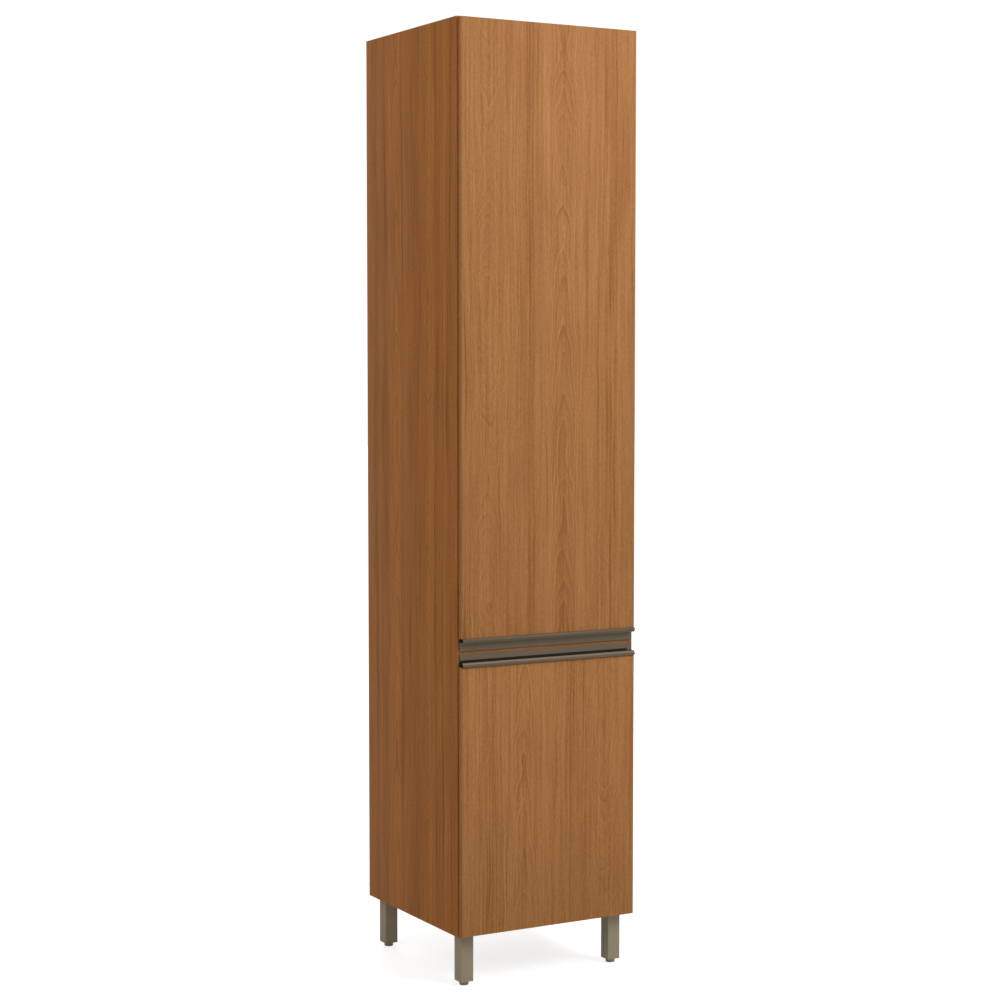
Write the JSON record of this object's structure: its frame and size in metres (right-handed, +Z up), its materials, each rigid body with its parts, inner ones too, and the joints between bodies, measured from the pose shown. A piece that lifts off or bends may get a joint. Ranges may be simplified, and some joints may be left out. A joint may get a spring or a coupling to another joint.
{
  "type": "tall kitchen cabinet",
  "caption": "Tall kitchen cabinet with an upper and a lower hinged wood-grain door, full-width metal profile handles, loose shelves and square metal legs on levelling feet.",
  "frame": {"origin": "middle of the bounding box at floor level, under the soles of the feet", "axes": "+Z up; -Y towards the front with the doors and handles; +X to the right seen from the front, on the hinge side"},
  "size_m": [0.5, 0.511, 2.35],
  "materials": {
    "door_wood": "satin wood-grain laminate",
    "side_wood": "satin wood-grain laminate",
    "inner_board": "matt laminate",
    "back_board": "matt fibreboard",
    "bronze_aluminium": "satin anodised",
    "leg_aluminium": "satin anodised",
    "black_plastic": "matt",
    "bright_steel": "nickel plated",
    "zinc": "zinc plated",
    "beech": "raw",
    "clear_rubber": "soft"
  },
  "bodies": {
    "carcass": {"side_left": "side_wood", "side_right": "side_wood", "top_panel": "side_wood", "bottom_panel": "side_wood", "fixed_shelf": "side_wood", "upper_back": "back_board", "lower_back": "back_board", "back_strip": "black_plastic", "back_nails": "bright_steel", "hanging_rail": "inner_board", "wall_brackets": "bright_steel", "bracket_screws": "bright_steel", "shelf_1": "inner_board", "shelf_2": "inner_board", "shelf_3": "inner_board", "shelf_lower": "inner_board", "shelf_pins": "bright_steel", "cam_bolts": "bright_steel", "cam_locks": "zinc", "dowels": "beech", "hinge_plates": "bright_steel", "plate_screws": "bright_steel", "hinge_arms": "bright_steel", "arm_screws": "zinc", "leg_front_left": "leg_aluminium", "leg_front_right": "leg_aluminium", "leg_back_left": "leg_aluminium", "leg_back_right": "leg_aluminium", "leg_screws": "bright_steel", "leg_inserts": "black_plastic"},
    "upper_leaf": {"upper_door": "door_wood", "upper_handle": "bronze_aluminium", "upper_cap_left": "black_plastic", "upper_cap_right": "black_plastic", "upper_handle_screws": "bright_steel", "upper_hinge_cups": "bright_steel", "upper_hinge_pins": "bright_steel", "upper_cup_screws": "bright_steel", "upper_bumpers": "clear_rubber"},
    "lower_leaf": {"lower_door": "door_wood", "lower_handle": "bronze_aluminium", "lower_liner": "black_plastic", "lower_cap_left": "black_plastic", "lower_cap_right": "black_plastic", "lower_handle_screws": "bright_steel", "lower_hinge_cups": "bright_steel", "lower_hinge_pins": "bright_steel", "lower_cup_screws": "bright_steel", "lower_bumpers": "clear_rubber"},
    "front_left_foot": {"foot_front_left": "leg_aluminium", "stud_front_left": "bright_steel"},
    "front_right_foot": {"foot_front_right": "leg_aluminium", "stud_front_right": "bright_steel"},
    "back_left_foot": {"foot_back_left": "leg_aluminium", "stud_back_left": "bright_steel"},
    "back_right_foot": {"foot_back_right": "leg_aluminium", "stud_back_right": "bright_steel"}
  },
  "joints": [
    {"name": "upper_door_hinge", "type": "hinge", "parent": "carcass", "child": "upper_leaf", "pos_m": [0.24, -0.245, 1.6], "axis": [0, 0, 1], "range_deg": [0, 95]},
    {"name": "lower_door_hinge", "type": "hinge", "parent": "carcass", "child": "lower_leaf", "pos_m": [0.24, -0.245, 0.46], "axis": [0, 0, 1], "range_deg": [0, 95]},
    {"name": "front_left_foot_screw", "type": "slide", "parent": "carcass", "child": "front_left_foot", "axis": [0, 0, -1], "range_m": [0, 0.015]},
    {"name": "front_right_foot_screw", "type": "slide", "parent": "carcass", "child": "front_right_foot", "axis": [0, 0, -1], "range_m": [0, 0.015]},
    {"name": "back_left_foot_screw", "type": "slide", "parent": "carcass", "child": "back_left_foot", "axis": [0, 0, -1], "range_m": [0, 0.015]},
    {"name": "back_right_foot_screw", "type": "slide", "parent": "carcass", "child": "back_right_foot", "axis": [0, 0, -1], "range_m": [0, 0.015]}
  ]
}
